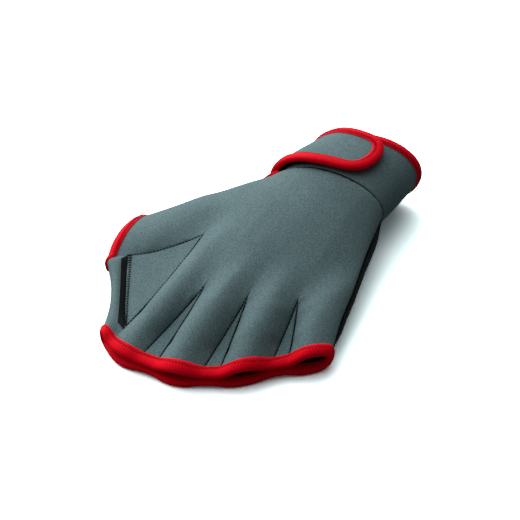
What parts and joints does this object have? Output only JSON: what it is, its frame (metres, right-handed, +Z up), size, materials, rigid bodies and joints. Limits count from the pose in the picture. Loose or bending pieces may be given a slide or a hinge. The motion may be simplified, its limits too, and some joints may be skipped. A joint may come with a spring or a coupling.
{
  "type": "webbed swim glove",
  "caption": "Left-hand swim glove in charcoal cloth with a black palm, open fingertips joined by triangular webs, red edge tape and a wrap-over wrist strap.",
  "frame": {"origin": "middle of the bounding box, on the surface that the glove lies on", "axes": "+Z up off the surface, with the palm down; -Y towards the fingers and +Y towards the opening at the wrist; the thumb is on the -X side"},
  "size_m": [0.1718, 0.2276, 0.0526],
  "materials": {
    "charcoal_neoprene": "matt knitted face over foam rubber",
    "charcoal_web": "matt knitted face over foam rubber, cut across the grain of the back",
    "black_neoprene": "matt knitted face over foam rubber",
    "black_fastener": "matt hook and loop",
    "red_tape": "satin stretch binding tape"
  },
  "bodies": {
    "root": {"back_panel": "charcoal_neoprene", "palm_panel": "black_neoprene", "web_thumb_index": "charcoal_web", "web_index_middle": "charcoal_web", "web_middle_ring": "charcoal_web", "web_ring_pinky": "charcoal_web", "cuff": "charcoal_neoprene", "strap": "charcoal_neoprene", "hook_patch": "black_fastener", "finger_binding": "red_tape", "thumb_binding": "red_tape", "wrist_binding": "red_tape", "strap_binding": "red_tape", "slit_binding": "red_tape"}
  },
  "joints": []
}
